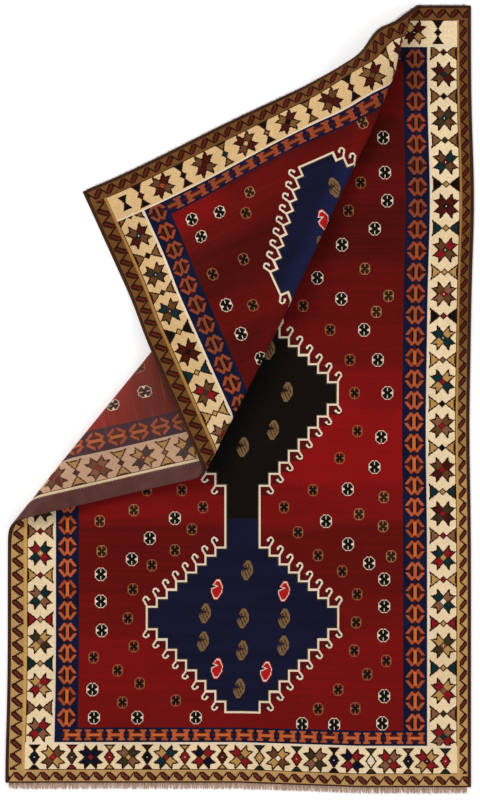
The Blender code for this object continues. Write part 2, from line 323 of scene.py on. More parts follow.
# Small scattered motifs: photograph pixels of the flat rug, 3.34 mm each
motifs = {
    "pixel": 0.00334,
    "reach": 0.046,
    "whiteRosette": (
        (382, 138), (383, 173), (385, 201), (373, 229), (341, 245), (317, 278), (341, 299), (364, 330),
        (378, 360), (388, 393), (382, 437), (375, 467), (348, 489), (326, 521), (348, 544), (369, 563),
        (384, 579), (384, 606), (383, 635), (384, 694), (382, 720), (334, 722), (302, 722), (125, 85),
        (101, 574), (150, 538), (132, 559), (175, 518), (101, 601), (102, 630), (93, 689), (95, 717),
        (138, 717), (196, 717), (96, 77), (98, 99), (94, 174), (96, 206), (106, 361), (100, 394),
        (104, 236), (98, 296), (112, 330), (190, 285), (172, 330), (160, 440)),
    "goldRosette": (
        (364, 269), (388, 296), (376, 312), (384, 497), (359, 514), (383, 526), (391, 556), (100, 521),
        (134, 510), (102, 551), (161, 82), (292, 66), (126, 262), (120, 430), (205, 300), (340, 100)),
    "brownRosette": (
        (359, 183), (347, 211), (303, 306), (330, 330), (350, 360), (355, 393), (358, 431), (340, 458),
        (313, 490), (284, 507), (298, 532), (318, 555), (342, 571), (357, 594), (356, 622), (354, 650),
        (386, 660), (367, 673), (338, 688), (355, 706), (318, 707), (152, 565), (175, 550), (192, 529),
        (203, 507), (182, 490), (147, 490), (133, 589), (128, 618), (134, 646), (94, 657), (118, 670),
        (140, 683), (123, 702), (176, 700), (94, 141), (149, 100), (128, 140), (118, 185), (131, 361),
        (130, 230), (96, 262), (146, 300), (140, 410), (186, 250)),
    "brownBoteh": (
        (247, 570), (205, 613), (243, 618), (284, 618), (203, 641), (242, 650), (283, 645), (239, 688),
        (287, 392), (273, 430), (243, 447), (269, 350), (240, 113), (205, 160), (202, 402), (222, 360),
        (282, 170), (262, 205)),
    "redBoteh": (
        (217, 589), (284, 591), (217, 668), (266, 671), (217, 138), (262, 130)),
}


def flatPixel(x, y):
    return (x - 240) * motifs["pixel"], (400 - y) * motifs["pixel"]


motifKinds = ("whiteRosette", "goldRosette", "brownRosette", "brownBoteh", "redBoteh")
motifCentres = np.array([flatPixel(*spot) for kind in motifKinds for spot in motifs[kind]])
motifCodes = np.array([k + 1 for k, kind in enumerate(motifKinds) for _ in motifs[kind]])

# The medallions from the lowest to the highest, where a row has three values: the line each is centred
# on, its half width, the steps across, its centre, half the height of its widest part and the step
# heights above and below it
medallions = {
    "middle": (0.0084, 0.0084, -0.0186),
    "half": (0.3140, 0.3140, 0.2870),
    "neck": 0.0530,
    "step": (0.0326, 0.0326, 0.0255),
    "centres": (-0.7265, 0.0220, 0.7520),
    "plateau": (0.033, 0.033, 0.036),
    "above": (0.0282, 0.0300, 0.0304),
    "below": (0.0345, 0.0385, 0.0355),
    "tips": (-1.0370, 1.0610),
}


def sideOf(x, y):
    # The side a flat point belongs to, and the number of its band from the edge
    gaps = gapsTo(x, y)
    level = {side: sum(gap > inset for inset in bands[side]) for side, gap in gaps.items()}
    lowest = min(level.values())
    order = ("bottom", "left", "right", "top") if lowest == 3 else ("top", "bottom", "left", "right")
    return next(side for side in order if level[side] == lowest), lowest


bandNames = ("edge", "guard", "ivory", "blue", "field")

# Repeats are counted from these numbers, so that a material can tell the sides apart
sideCounts = {"left": 20.0, "right": 60.0, "top": 120.0, "bottom": 160.0}


def bandPlace(side, level, x, y):
    # Repeats along the band from its first motif, and the share of the way across it
    along = y if side in ("left", "right") else x
    inner = bands[side][level] if level < 4 else bands[side][3] + 1.0
    outer = bands[side][level - 1] if level > 0 else 0.0
    across = (gapsTo(x, y)[side] - outer) / (inner - outer)
    if level == 2:
        repeats = (along - bands["ivoryStart"][side]) / bands["ivoryPitch"][side]
    elif level == 3:
        repeats = (along - bands["blueStart"][side]) / bands["bluePitch"][side]
    else:
        repeats = along / bands["guardPitch"][side]
    return repeats + sideCounts[side], across


def fieldKind(x, y):
    # Faces near a medallion's outline or inside it take the richer material
    low, high = medallions["tips"]
    if not low - 0.05 < y < high + 0.05:
        return "field"
    for middle, half, centre in zip(medallions["middle"], medallions["half"], medallions["centres"]):
        ax = abs(x - middle)
        if ax < min(half + 0.06, half + 0.095 - (abs(y - centre) - 0.05) * 0.84):
            return "medallion"
        if ax < medallions["neck"] + 0.06:
            return "medallion"
    return "field"


def finishPiece(name, bm, looks):
    mesh = bpy.data.meshes.new(name)
    bm.to_mesh(mesh)
    bm.free()
    mesh.shade_smooth()
    for look in looks:
        mesh.materials.append(look)
    made = bpy.data.objects.new(name, mesh)
    bpy.context.scene.collection.objects.link(made)
    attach(made, "root")
    return made


def inBake(share):
    # A share from 0 to 1, kept off the border of the baked picture
    return share * 0.98 + 0.01


def clothPiece(name, sheet, lift, looks, flip=False):
    # One face of the cloth between the selvedges, with a material for each band
    bm = sheet.copy()
    drop = [face for face in bm.faces if not innerLeft < face.calc_center_median().x < innerRight]
    bmesh.ops.delete(bm, geom=drop, context="FACES")
    flatMap = bm.loops.layers.uv.new("Flat")
    bandMap = bm.loops.layers.uv.new("Band")
    motifMap = bm.loops.layers.uv.new("Motif")
    bakeMap = bm.loops.layers.uv.new("OFBake")
    kindLayer = bm.faces.layers.float.new("kind")
    order = list(looks)
    for face in bm.faces:
        middle = face.calc_center_median()
        side, level = sideOf(middle.x, middle.y)
        band = bandNames[level]
        if band == "field":
            band = fieldKind(middle.x, middle.y)
            away = np.hypot(motifCentres[:, 0] - middle.x, motifCentres[:, 1] - middle.y)
            nearest = int(np.argmin(away))
            near = away[nearest] < motifs["reach"]
            centre = motifCentres[nearest]
            face[kindLayer] = float(motifCodes[nearest]) if near else 0.0
        face.material_index = order.index(band if band in order else order[0])
        for loop in face.loops:
            x = loop.vert.co.x
            y = loop.vert.co.y
            loop[flatMap].uv = (x, y)
            loop[bandMap].uv = bandPlace(side, level, x, y)
            loop[bakeMap].uv = (inBake((x - rug["left"]) / rug["width"]),
                                inBake((y - rug["bottom"]) / rug["length"]))
            if level == 4:
                loop[motifMap].uv = (x - centre[0], y - centre[1])
    bm.verts.ensure_lookup_table()
    flat = np.array([vert.co[:] for vert in bm.verts])
    places = placed(flat[:, 0], flat[:, 1], np.zeros(len(flat)) + lift)
    for vert, place in zip(bm.verts, places):
        vert.co = place
    if flip:
        bmesh.ops.reverse_faces(bm, faces=bm.faces)
    return finishPiece(name, bm, looks.values())


def dye(red, green, blue):
    # A colour in screen values from 0 to 255, made linear
    def linear(value):
        value = value / 255.0
        return value / 12.92 if value <= 0.04045 else ((value + 0.055) / 1.055) ** 2.4
    return (linear(red), linear(green), linear(blue), 1.0)


def operator(operation, reflected=False):
    # What a sign between two values does: it adds one Math node
    def apply(self, other):
        pair = (other, self) if reflected else (self, other)
        return self.graph.math(operation, *pair)
    return apply


class Wire:
    # A socket that can be written in ordinary sums
    __add__ = operator("ADD")
    __radd__ = operator("ADD", True)
    __sub__ = operator("SUBTRACT")
    __rsub__ = operator("SUBTRACT", True)
    __mul__ = operator("MULTIPLY")
    __rmul__ = operator("MULTIPLY", True)
    __truediv__ = operator("DIVIDE")
    __lt__ = operator("LESS_THAN")
    __gt__ = operator("GREATER_THAN")
    least = operator("MINIMUM")
    most = operator("MAXIMUM")

    def __init__(self, graph, socket):
        self.graph = graph
        self.socket = socket

    def __abs__(self):
        return self.graph.math("ABSOLUTE", self)

    def floor(self):
        return self.graph.math("FLOOR", self)

    def fraction(self):
        return self.graph.math("FRACT", self)

    def sine(self):
        return self.graph.math("SINE", self)

    def root(self):
        return self.graph.math("SQRT", self)

    def clipped(self):
        return self.graph.clamp(self)


class Graph:
    def __init__(self, name):
        self.material = bpy.data.materials.new(name)
        self.material.use_nodes = True
        self.tree = self.material.node_tree
        self.tree.nodes.clear()

    def node(self, kind, settings=None, values=None):
        made = self.tree.nodes.new(kind)
        for key, value in (settings or {}).items():
            setattr(made, key, value)
        for key, value in (values or {}).items():
            socket = made.inputs[key]
            if isinstance(value, Wire):
                self.tree.links.new(value.socket, socket)
            else:
                socket.default_value = value
        return made

    def wire(self, made, output=0):
        return Wire(self, made.outputs[output])

    def math(self, operation, first, second=None):
        values = {0: first}
        if second is not None:
            values[1] = second
        return self.wire(self.node("ShaderNodeMath", {"operation": operation}, values))

    def clamp(self, value):
        return self.wire(self.node("ShaderNodeClamp", {}, {"Value": value}))

    def mix(self, factor, first, second, kind="MIX"):
        settings = {"data_type": "RGBA", "blend_type": kind}
        return self.wire(self.node("ShaderNodeMix", settings, {0: factor, 6: first, 7: second}), 2)

    def flatPlace(self, name):
        made = self.node("ShaderNodeUVMap", {"uv_map": name})
        parts = self.node("ShaderNodeSeparateXYZ", {}, {0: self.wire(made)})
        return self.wire(parts, 0), self.wire(parts, 1)

    def vector(self, x, y, z=0.0):
        return self.wire(self.node("ShaderNodeCombineXYZ", {}, {0: x, 1: y, 2: z}))

    def noise(self, place, scale, detail=2.0, roughness=0.5):
        values = {"Vector": place, "Scale": scale, "Detail": detail, "Roughness": roughness}
        return self.wire(self.node("ShaderNodeTexNoise", {}, values))

    def scatter(self, place):
        # One random number for each place
        settings = {"noise_dimensions": "3D"}
        return self.wire(self.node("ShaderNodeTexWhiteNoise", settings, {"Vector": place}))

    def palette(self, value, colours):
        made = self.node("ShaderNodeValToRGB", {}, {0: value})
        band = made.color_ramp
        band.interpolation = "CONSTANT"
        for index, colour in enumerate(colours):
            stop = band.elements[index] if index < 2 else band.elements.new(0.999)
            stop.position = index / len(colours)
            stop.color = colour
        return self.wire(made)

    def relief(self, height, strength, distance):
        values = {"Strength": strength, "Distance": distance, "Height": height}
        return self.wire(self.node("ShaderNodeBump", {}, values))

    def finish(self, colour, roughness, normal=None, extra=None):
        values = {"Base Color": colour, "Roughness": roughness}
        if normal is not None:
            values["Normal"] = normal
        values.update(extra or {})
        shader = self.node("ShaderNodeBsdfPrincipled", {}, values)
        self.node("ShaderNodeOutputMaterial", {}, {0: self.wire(shader)})
        return self.material


dyes = {
    "ivory": dye(243, 218, 178),
    "cream": dye(232, 212, 186),
    "gold": dye(184, 140, 80),
    "ochre": dye(188, 146, 92),
    "brown": dye(98, 62, 34),
    "mauve": dye(132, 86, 62),
    "umber": dye(122, 84, 46),
    "red": dye(132, 24, 30),
    "bright": dye(176, 26, 28),
    "field": dye(110, 17, 15),
    "fieldDark": dye(66, 13, 9),
    "fieldBright": dye(142, 17, 18),
    "maroon": dye(72, 20, 16),
    "teal": dye(16, 44, 46),
    "olive": dye(58, 48, 30),
    "navy": dye(25, 27, 60),
    "ink": dye(16, 17, 36),
    "black": dye(18, 14, 11),
    "outline": dye(38, 18, 10),
    "orange": dye(204, 108, 52),
    "rust": dye(158, 68, 38),
    "coral": dye(184, 90, 56),
    "tan": dye(146, 100, 62),
    "straw": dye(160, 124, 76),
    "bark": dye(40, 28, 16),
    "leaf": dye(124, 94, 62),
    "leafDark": dye(62, 42, 30),
    "wine": dye(84, 16, 18),
    "nightDark": dye(17, 17, 34),
    "night": dye(25, 26, 55),
    # The navy of the painted sheen at the upper fold's crest
    "nightSheen": dye(38, 46, 98),
}


# Wool colours of the ivory border's figures, in order along each side from its first star.
# A star is two pairs of arms and a centre. Both long sides follow the same rows.
borderDyes = {
    "side": {
        "stars": (
            ("red", "mauve", "teal"), ("red", "gold", "mauve"), ("gold", "olive", "mauve"),
            ("teal", "mauve", "cream"), ("teal", "red", "gold"), ("maroon", "olive", "red"),
            ("brown", "maroon", "red"), ("mauve", "brown", "red"), ("teal", "gold", "red"),
            ("teal", "gold", "teal"), ("brown", "mauve", "red"), ("brown", "red", "olive"),
            ("maroon", "maroon", "black"), ("brown", "teal", "maroon"), ("brown", "olive", "teal"),
            ("maroon", "brown", "teal"), ("maroon", "maroon", "black"),
        ),
        "bows": ("mauve", "teal", "red", "gold", "mauve", "teal", "gold", "gold", "gold",
                 "black", "gold", "teal", "black", "umber", "umber", "umber"),
        "diamonds": ("olive", "gold", "gold", "red", "red", "gold", "ink", "black", "mauve",
                     "red", "gold", "gold", "gold", "olive", "black", "maroon"),
    },
    "top": {
        "stars": (
            ("brown", "maroon", "rust"), ("brown", "maroon", "maroon"), ("maroon", "brown", "ochre"),
            ("umber", "maroon", "black"), ("maroon", "brown", "maroon"), ("umber", "maroon", "brown"),
            ("maroon", "red", "ink"), ("gold", "maroon", "ink"),
        ),
        "bows": ("black", "black", "umber", "black", "umber", "black", "umber", "black", "black"),
        "diamonds": ("maroon", "black", "teal", "mauve", "black", "maroon", "maroon", "black", "black"),
    },
    "bottom": {
        "stars": (
            ("brown", "gold", "bright"), ("ink", "ink", "red"), ("olive", "mauve", "gold"),
            ("teal", "gold", "red"), ("red", "ink", "gold"), ("gold", "red", "brown"),
            ("gold", "brown", "cream"), ("mauve", "olive", "gold"), ("red", "ink", "gold"),
            ("mauve", "red", "mauve"), ("gold", "red", "maroon"),
        ),
        "bows": ("black", "red", "gold", "maroon", "gold", "gold", "teal", "teal", "black",
                 "olive", "brown", "teal"),
        "diamonds": ("ink", "olive", "red", "black", "red", "maroon", "gold", "red", "ink",
                     "cream", "ink", "red"),
    },
}


def borderDye(graph, ends, low, index, pick):
    # The wool of one figure, by its place along the side, the top or the bottom
    parts = {}
    for side, facts in borderDyes.items():
        names = pick(facts)
        parts[side] = graph.palette((index[side] + 0.5) / len(names), [dyes[name] for name in names])
    return graph.mix(ends, parts["side"], graph.mix(low, parts["top"], parts["bottom"]))


def knotted(graph, value, count):
    # Steps of one knot
    return ((value * count).floor() + 0.5) / count


wool = {
    "knotTone": 0.18,
    "broadTone": 0.34,
    "broadScale": 5.0,
    "fibreScale": 420.0,
    "weftPitch": 0.0052,
    "weftWidth": 0.13,
    "backFade": 0.26,
    "backPale": (122, 74, 62),
    "warp": (166, 124, 106),
    "warpShow": 0.55,
}


def woolFinish(graph, colour, back, strength=1.0):
    # Knot by knot variation, pile relief and, on the back, weft lines with some bare warp
    x, y = graph.flatPlace("Flat")
    place = graph.vector(x, y)
    size = cloth["knot"]
    single = graph.scatter(graph.vector((x / size).floor(), (y / size).floor(), 3.0))
    broad = graph.noise(place, wool["broadScale"], 3.0)
    value = (single - 0.5) * (wool["knotTone"] * strength) + (broad - 0.5) * wool["broadTone"] + 1.0
    grey = graph.node("ShaderNodeCombineColor", {}, {0: value, 1: value, 2: value})
    shaded = graph.mix(1.0, colour, graph.wire(grey), "MULTIPLY")
    if back:
        lines = abs((y / wool["weftPitch"]).fraction() - 0.5) < wool["weftWidth"]
        pale = graph.mix(wool["backFade"], shaded, dye(*wool["backPale"]))
        streaks = graph.noise(graph.vector(x * 5.0, y * 130.0), 1.0, 3.0, 0.6)
        worn = graph.noise(place, 7.0, 2.0)
        bare = ((streaks - 0.55) * 3.0).clipped() * ((worn - 0.35) * 2.5).clipped()
        shaded = graph.mix(lines * 0.12 + bare * wool["warpShow"], pale, dye(*wool["warp"]))
        relief = graph.relief(single * 0.5 + lines * 0.7, 0.35, 0.0008)
        return graph.finish(shaded, 0.85, relief, {"Specular IOR Level": 0.12})
    fibre = graph.noise(place, wool["fibreScale"], 3.0, 0.6)
    relief = graph.relief(fibre + single * 0.5, 0.55, 0.0012)
    extra = {"Sheen Weight": 0.015, "Sheen Roughness": 0.5, "Specular IOR Level": 0.05}
    return graph.finish(shaded, 0.95, relief, extra)


starShape = {
    "tip": (0.0435, 0.0200),
    "notch": 0.0235,
    "valley": 0.0215,
    "outline": 0.0046,
    "centre": 0.0140,
}


def starInside(graph, x, y):
    # Eight points: four arms on the diagonals, each with a notched end
    wide = abs(x).most(abs(y))
    narrow = abs(x).least(abs(y))
    tipX, tipY = starShape["tip"]
    slope = tipY / (tipX - starShape["valley"])
    side = (narrow - (wide - starShape["valley"]) * slope) * (1.0 / math.hypot(1.0, slope))
    run = math.hypot(tipX - starShape["notch"], starShape["notch"] - tipY)
    acrossX = (starShape["notch"] - tipY) / run
    acrossY = (tipX - starShape["notch"]) / run
    end = (starShape["notch"] - wide) * acrossX + (starShape["notch"] - narrow) * acrossY
    return side.least(end)


ivory = {
    "sidePitch": 0.1465,
    "topPitch": 0.158,
    "bottomPitch": 0.124,
    "sideWide": 0.0965,
    "endWide": 0.091,
    "middle": 0.46,
    "topStars": 8.0,
    "bottomStars": 11.0,
    "dot": 0.0030,
    "edgeLine": 0.022,
    "aged": (208, 166, 108),
    "backWool": (212, 172, 142),
    "backLine": (208, 174, 148),
}


def ivoryLook(name, back):
    # Eight-pointed stars, with a bow-tie and a diamond in each gap between them
    graph = Graph(name)
    along, across = graph.flatPlace("Band")
    along = knotted(graph, along, 56.0)
    across = knotted(graph, across, 38.0)
    ends = along > 100.0
    low = along > 140.0
    top = ends * (1.0 - low)
    endPitch = ivory["topPitch"] - low * (ivory["topPitch"] - ivory["bottomPitch"])
    pitch = (1.0 - ends) * ivory["sidePitch"] + ends * endPitch
    wide = ivory["sideWide"] - ends * (ivory["sideWide"] - ivory["endWide"])
    y = (across - ivory["middle"]) * wide
    cell = (along + 0.5).floor()
    x = (along - cell) * pitch
    border = starShape["outline"]

    def counted(figure):
        # A figure's place in the lists of wool colours, from its side's first
        local = figure - 120.0 - low * 40.0
        return {"side": figure - 20.0 - (along > 50.0) * 40.0, "top": local, "bottom": local}

    # The star, its arms in two colours
    count = counted(cell)
    inside = starInside(graph, x, y)
    wools = [borderDye(graph, ends, low, count, lambda facts: [star[part] for star in facts["stars"]])
             for part in range(3)]
    starColour = graph.mix(abs(x + y) > abs(x - y), wools[1], wools[0])
    starColour = graph.mix(inside > border, dyes["outline"], starColour)
    middle = abs(x) + abs(y)
    dotted = graph.scatter(graph.vector(cell, 2.0)) > 0.6
    centre = graph.mix((middle < ivory["dot"]) * dotted, wools[2], dyes["cream"])
    centre = graph.mix(middle < starShape["centre"] - border, dyes["outline"], centre)
    starColour = graph.mix(middle < starShape["centre"], starColour, centre)
    last = low * (ivory["bottomStars"] - ivory["topStars"]) + ivory["topStars"] - 0.5
    whole = 1.0 - ends * (1.0 - (count["top"] > -0.5) * (count["top"] < last))
    star = (inside > 0.0).most(middle < starShape["centre"]) * whole

    # A black hourglass fills the top's left corner
    glass = (abs(x - 0.0210) < abs(y) * 0.55 + 0.0030) * (abs(y) < 0.0260)
    glass = glass * ends * (abs(along - 119.0) < 0.5)

    # Between stars: a bow-tie across the sides, two triangles tip to tip at the ends, each with a diamond
    gap = along.floor()
    bx = abs(along - gap - 0.5) * pitch
    by = abs(y)
    between = counted(gap + ends)
    bowSide = (((by - 0.0080) * 0.80 - bx) * 0.8).least(bx * 0.09 + 0.0415 - by)
    bowLow = (((by - 0.0205) * 0.97 - bx) * 0.72).least(0.0415 - by)
    bowTop = (((by - 0.0100) * 0.66 - bx) * 0.83).least(0.0390 - by)
    bow = bowSide * (1.0 - ends) + bowTop * top + bowLow * low
    bowColour = borderDye(graph, ends, low, between, lambda facts: facts["bows"])
    bowColour = graph.mix(bow > border, dyes["outline"], bowColour)
    diamondSide = (0.0140 - bx - by) * 0.7
    diamondLow = (1.0 - bx / 0.0190 - by / 0.0270) * 0.0155
    diamondTop = (1.0 - bx / 0.0130 - by / 0.0155) * 0.0100
    diamond = diamondSide * (1.0 - ends) + diamondTop * top + diamondLow * low
    diamondColour = borderDye(graph, ends, low, between, lambda facts: facts["diamonds"])
    diamondColour = graph.mix((bx + by < ivory["dot"]) * low, diamondColour, dyes["cream"])
    diamondColour = graph.mix(diamond > border, dyes["outline"], diamondColour)

    # The ground, golden with age on the turned-over corner and in places elsewhere
    flatX, flatY = graph.flatPlace("Flat")
    tone = graph.noise(graph.vector(flatX, flatY), 3.0, 2.0)
    aged = ((flatY - 0.1) * 2.0).clipped() * ((-0.35 - flatX) * 3.0).clipped() * 0.80
    aged = aged.most(((flatY - 1.0) * 6.0).clipped() * ((0.50 - flatX) * 4.0).clipped() * 0.75)
    aged = aged.most((tone * 2.0 - 0.7).clipped() * 0.45)
    plain = dye(*ivory["backWool"]) if back else dyes["ivory"]
    colour = graph.mix(aged, plain, dye(*ivory["aged"]))
    colour = graph.mix(star, colour, starColour)
    colour = graph.mix(glass, colour, dyes["black"])
    colour = graph.mix(bow > 0.0, colour, bowColour)
    colour = graph.mix(diamond > 0.0, colour, diamondColour)

    # The plain white line beside the blue band, narrower at the top, with a dark edge
    line = dye(*ivory["backLine"]) if back else dyes["cream"]
    colour = graph.mix(across > top * 0.030 + 0.925, colour, line)
    colour = graph.mix(across < ivory["edgeLine"], colour, dyes["outline"])
    return woolFinish(graph, colour, back, 1.5)


blue = {
    "sideRepeat": 0.0712,
    "endRepeat": 0.0672,
    "wide": 0.088,
    "topFigures": 13.0,
    "bottomFigures": 17.0,
    "muted": (124, 64, 42),
}


def blueLook(name, back):
    # On the sides a bar across the band opens into two pairs of arms, folded back like an anchor's.
    # At the ends the figure is a short bone that lies along the band.
    graph = Graph(name)
    along, across = graph.flatPlace("Band")
    along = knotted(graph, along, 30.0)
    across = knotted(graph, across, 30.0)
    ends = along > 100.0
    cell = (along + 0.5).floor()
    a = abs(along - cell) * (blue["sideRepeat"] - ends * (blue["sideRepeat"] - blue["endRepeat"]))
    b = abs(across - 0.5) * blue["wide"]
    slanted = a * 0.644 + b * 0.764
    arm = (abs(slanted - 0.0258) < 0.0048) * (a > 0.0045) * (a < 0.0305) * (b > 0.0080)
    fork = (abs(a - b * 0.893 - 0.0167) < 0.0056) * (b < 0.0120) * (a < 0.0290)
    bar = (b < 0.0062) * (a < 0.0210)
    boneBar = (b < 0.0095) * (a < 0.0200)
    boneEnd = (abs(a - 0.0195) < 0.0052) * (b < 0.0320)
    boneTips = (abs(a - 0.0190) < 0.0105) * (abs(b - 0.0260) < 0.0060)
    figure = arm.most(fork).most(bar) * (1.0 - ends) + boneBar.most(boneEnd).most(boneTips) * ends
    inner = (slanted < 0.0230) * (b + ends < 1.0200)
    shadow = (a < 0.0160) * (b < 0.0110)

    # No figure past the first and last of each end
    low = along > 150.0
    local = along - 120.0 - low * 40.0
    last = low * (blue["bottomFigures"] - blue["topFigures"]) + blue["topFigures"] - 0.5
    drawn = 1.0 - ends * (1.0 - (local > -0.5) * (local < last))
    place = graph.vector(along * 0.2, across)
    ground = graph.mix((graph.noise(place, 3.0) * 1.6 - 0.4).clipped(), dyes["ink"], dyes["navy"])
    pick = graph.scatter(graph.vector(cell, 5.0))
    _, y = graph.flatPlace("Flat")
    muted = ((y + 0.15) * 1.6).clipped() * 0.70 + (y > 0.55) * 0.20
    warm = graph.mix(pick, dyes["orange"], dyes["coral"])
    warm = graph.mix(muted, warm, dye(*blue["muted"]))
    colour = graph.mix(inner * drawn, ground, dyes["maroon"])
    colour = graph.mix(shadow * drawn, colour, graph.mix(ends, dyes["black"], dyes["maroon"]))
    colour = graph.mix(figure * drawn, colour, graph.mix(bar, graph.mix(pick, dyes["rust"], warm), warm))
    colour = graph.mix(across < 0.05, colour, dyes["ink"])
    return woolFinish(graph, colour, back)


guard = {
    "ground": (112, 72, 36),
    "barLight": (104, 42, 31),
    "barDark": (90, 30, 20),
    "stripeLight": (212, 166, 92),
    "stripeDark": (168, 122, 64),
}


def guardLook(name, back):
    # Leaning bars joined by thin strokes, with a plain stripe inside them on the sides
    graph = Graph(name)
    along, across = graph.flatPlace("Band")
    _, y = graph.flatPlace("Flat")
    along = knotted(graph, along, 18.0)
    across = knotted(graph, across, 18.0)
    ends = along > 100.0
    part = along.fraction()
    falling = abs(across + part * 0.98 - 0.75)
    thick = (falling < ends * 0.05 + 0.27) * (part < 0.66) * (across < ends * 0.06 + 0.78)
    body = (falling < ends * 0.04 + 0.12) * (part < 0.56) * (part > 0.07)
    thin = (abs(across - (part - 0.60) * 1.55 - 0.14) < 0.11) * (part > 0.56)
    drawn = thick.most(thin) * (across > 0.04)

    # The wool pales towards the rug's lower half
    light = ((0.25 - y) * 1.7).clipped()
    colour = graph.mix(light, dye(*guard["ground"]), dyes["ochre"])
    colour = graph.mix(drawn, colour, dyes["outline"])
    colour = graph.mix(body, colour, graph.mix(light, dye(*guard["barDark"]), dye(*guard["barLight"])))
    stripe = graph.mix(light * 0.8, dye(*guard["stripeDark"]), dye(*guard["stripeLight"]))
    colour = graph.mix((across > 0.83) * (1.0 - ends), colour, dyes["ivory"] if back else stripe)
    return woolFinish(graph, colour, back)


# Dye lots of the red, by where each begins along the rug: how bright it is, from 0 to 1
dyeLots = (
    {"from": -1.13, "bright": 0.55},
    {"from": -0.98, "bright": 0.62},
    {"from": -0.78, "bright": 0.44},
    {"from": -0.66, "bright": 0.30},
    {"from": -0.42, "bright": 0.62},
    {"from": -0.28, "bright": 0.92},
    {"from": -0.02, "bright": 0.70},
    {"from": 0.10, "bright": 0.42},
    {"from": 0.26, "bright": 0.30},
    {"from": 0.46, "bright": 0.12},
    {"from": 0.66, "bright": 0.28},
    {"from": 0.78, "bright": 0.10},
    {"from": 0.95, "bright": 0.32},
    {"from": 1.10, "bright": 0.16},
)


def foldSheen(x, y):
    # From 0 to 1 towards the crest of the upper fold, where the lie of the pile catches the light: a mask
    # for painted sheen that brightens the wool's colour there
    return ((x - y * 1.2 + 1.20) * 4.2).clipped() * (y > 0.45)


def abrashAndSheen(graph, x, y):
    # The red changes from dye lot to dye lot along the rug, and a painted sheen brightens it towards the
    # upper fold's crest
    drift = graph.noise(graph.vector(x * 0.5, y * 1.5), 3.0, 2.0)
    fine = graph.noise(graph.vector(x * 0.9, y * 34.0), 2.0, 3.0, 0.6)
    place = y + (drift - 0.5) * 0.10
    value = None
    for lot, following in zip(dyeLots, dyeLots[1:]):
        step = ((place - following["from"]) * 28.0 + 0.5).clipped() * (following["bright"] - lot["bright"])
        value = step + lot["bright"] if value is None else value + step
    corner = ((y - 1.02) * 14.0).clipped() * ((-0.30 - x) * 9.0).clipped()
    # Painted sheen: the red is brightened towards the upper fold's crest, on the left part of the rug
    value = (value + (fine - 0.5) * 0.42 + corner * 0.45 + foldSheen(x, y) * (x < 0.2) * 0.35).clipped()
    deep = graph.mix((value * 2.0).clipped(), dyes["fieldDark"], dyes["field"])
    return graph.mix((value * 2.0 - 1.0).clipped(), deep, dyes["fieldBright"])


def motifPlace(graph):
    # Which motif is nearest, and the offset from its centre in whole knots
    kind = graph.wire(graph.node("ShaderNodeAttribute", {"attribute_name": "kind"}), 2)
    dx, dy = graph.flatPlace("Motif")
    size = cloth["knot"]
    dx = (dx / size + 0.5).floor() * size
    dy = (dy / size + 0.5).floor() * size
    return kind, dx, dy


rosetteShape = {
    "halfWide": 0.0190,
    "halfHigh": 0.0215,
    "corner": 0.0292,
    "rim": 0.90,
    "body": 0.66,
    "smaller": 0.12,
    "wedge": (0.0085, 0.60),
    "slit": (0.0014, 0.0060),
}


def scattered(graph, colour):
    # Rosettes: an eight-sided ring round a dark body that is cut by wedges and slits.
    # The brown and gold ones are smaller, and the ground shows between their ring and body.
    kind, dx, dy = motifPlace(graph)
    shape = rosetteShape
    white = kind < 1.5
    gold = (kind > 1.5) * (kind < 2.5)
    shrink = 1.0 + shape["smaller"] - white * shape["smaller"]
    ax = abs(dx) * shrink
    ay = abs(dy) * shrink
    ring = (ax / shape["halfWide"]).most(ay / shape["halfHigh"]).most((ax + ay) / shape["corner"])
    rosette = (kind > 0.5) * (kind < 3.5)
    wedge = ay < (ax - shape["wedge"][0]) * shape["wedge"][1]
    slit = (ax < shape["slit"][0]) * (ay > shape["slit"][1])
    rim = graph.mix(white, dyes["tan"], dyes["cream"])
    rim = graph.mix(gold, rim, dyes["straw"])
    body = graph.mix(gold, dyes["black"], dyes["bark"])
    body = graph.mix((ring > shape["body"]) * (1.0 - white), body, graph.mix(0.40, colour, dyes["black"]))
    notch = graph.mix(white, rim, dyes["cream"])
    gaps = (abs(ax - ay) < 0.0020) + (ax < 0.0010) * (ay > 0.0180)
    rim = graph.mix(gaps.clipped() * white, rim, colour)
    motif = graph.mix(ring < shape["rim"], rim, body)
    motif = graph.mix(slit * (ring < shape["rim"]), motif, rim)
    motif = graph.mix(wedge, motif, notch)
    return graph.mix(rosette * (ring < 1.0), colour, motif)


botehShape = {
    "halfWide": 0.0195,
    "halfHigh": 0.0325,
    "redTaller": 0.0030,
    "lean": 0.12,
    "point": 0.77,
    "ribPitch": 0.0104,
    "ribWidth": 0.36,
    "curlLine": 0.0016,
}


def botehs(graph, colour):
    # Leaf shapes, pointed above and below, with a curl let in from the left
    kind, dx, dy = motifPlace(graph)
    shape = botehShape
    red = kind > 4.5
    au = abs(dx - dy * shape["lean"]) / shape["halfWide"]
    av = abs(dy) / (red * shape["redTaller"] + shape["halfHigh"])
    form = ((au + av) * shape["point"]).most(au).most(av)
    leaf = (kind > 3.5) * (form < 1.0)
    curl = (0.0 - dx - red * 0.0040) * 0.45 - abs(dy - 0.006 - red * 0.004)
    ribs = ((dx + dy * 0.4) / shape["ribPitch"]).fraction() < shape["ribWidth"]
    inner = (ribs * (form < 0.78)).most((abs(curl + 0.0026) < shape["curlLine"]) * (dx < 0.0070))
    brownBody = graph.mix(inner, dyes["leaf"], dyes["leafDark"])
    redBody = graph.mix((form > 0.80) * (form < 0.92), dyes["bright"], dyes["cream"])
    redCurl = (abs(curl + 0.0022) < shape["curlLine"]) * (dx < 0.0070)
    redBody = graph.mix(redCurl, redBody, dyes["cream"])
    body = graph.mix(red, brownBody, redBody)
    return graph.mix(leaf * (1.0 - (curl > 0.0)), colour, body)


